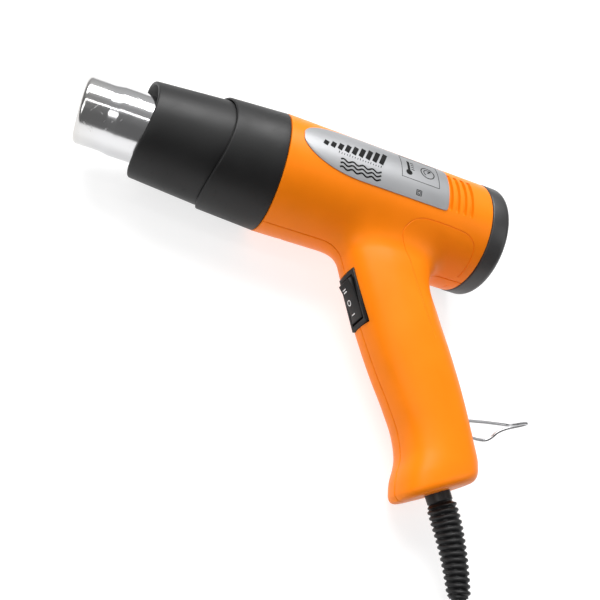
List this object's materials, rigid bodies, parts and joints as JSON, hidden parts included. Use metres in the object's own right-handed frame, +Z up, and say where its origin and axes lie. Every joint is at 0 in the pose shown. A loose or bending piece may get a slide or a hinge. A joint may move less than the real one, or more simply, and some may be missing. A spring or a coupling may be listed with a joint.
{
  "type": "heat gun",
  "caption": "Hot-air gun lying on its right side: chromed nozzle in a two-step heat guard, barrel with fan and heater, leaning handle with rocker switch, wire loop, lead and plug.",
  "frame": {"origin": "centre of the rear grille's flat outer face, on the barrel axis", "axes": "+X along the barrel axis, out of the rear face, so the nozzle points to -X; +Z up from the bench that the tool lies on, on its right side; the handle points to -Y, leaning 5.8 degrees down to the bench"},
  "size_m": [0.2652, 0.3775, 0.0674],
  "materials": {
    "orange_plastic": "moulded, glossy, orange",
    "black_plastic": "satin moulded, black",
    "grey_plastic": "satin moulded, dark grey",
    "chromed_steel": "bright chromed steel tube",
    "steel": "zinc-plated steel",
    "silver_foil": "satin silver foil plate",
    "rubber": "black flexible PVC",
    "mica": "pressed mica sheet",
    "ceramic": "unglazed steatite",
    "resistance_wire": "oxidised resistance wire",
    "brass": "stamped brass, nickel tint",
    "copper": "copper winding on laminations",
    "white_plastic": "heat-resistant off-white plastic",
    "board_green": "circuit board",
    "capacitor_blue": "moulded capacitor case"
  },
  "bodies": {
    "tool": {"body_left_shell": "orange_plastic", "body_right_shell": "orange_plastic", "coil_tie": "black_plastic", "cord_coil": "rubber", "cord_tail": "rubber", "diode_1": "black_plastic", "diode_2": "black_plastic", "diode_3": "black_plastic", "diode_4": "black_plastic", "heat_guard_front": "black_plastic", "heat_guard_rear": "black_plastic", "heater_base": "ceramic", "heater_coil_front": "resistance_wire", "heater_coil_rear": "resistance_wire", "housing_screw_1": "steel", "housing_screw_2": "steel", "housing_screw_3": "steel", "housing_screw_4": "steel", "housing_screw_5": "steel", "housing_screw_6": "steel", "mica_cross": "mica", "mica_sleeve": "mica", "motor_bracket": "white_plastic", "motor_can": "steel", "motor_end_cap": "white_plastic", "name_label": "silver_foil", "nozzle_tube": "chromed_steel", "plug_body": "rubber", "plug_pin_1": "brass", "plug_pin_2": "brass", "power_cord": "rubber", "rear_cap_ring": "grey_plastic", "rear_grille": "black_plastic", "rectifier_board": "board_green", "strain_relief": "rubber", "suppression_capacitor": "capacitor_blue", "switch_housing": "black_plastic", "switch_terminal_1": "brass", "switch_terminal_2": "brass", "switch_terminal_3": "brass", "thermal_cutout": "white_plastic"},
    "rocker": {"switch_rocker": "black_plastic"},
    "wire_loop": {"hanging_loop": "steel"},
    "fan_rotor": {"fan_impeller": "black_plastic", "motor_armature": "copper", "motor_shaft": "steel"}
  },
  "joints": [
    {"name": "rocker_pivot", "type": "hinge", "parent": "tool", "child": "rocker", "pos_m": [-0.0789, -0.0636, -0.00646], "axis": [0, 0.1011, -0.9949], "range_deg": [0, 13]},
    {"name": "loop_hinge", "type": "hinge", "parent": "tool", "child": "wire_loop", "pos_m": [-0.0218, -0.12098, -0.01229], "axis": [0, -0.1011, 0.9949], "range_deg": [-50, 15]},
    {"name": "fan_spin", "type": "hinge", "parent": "tool", "child": "fan_rotor", "pos_m": [-0.035, 0, 0], "axis": [1, 0, 0], "continuous": true}
  ]
}
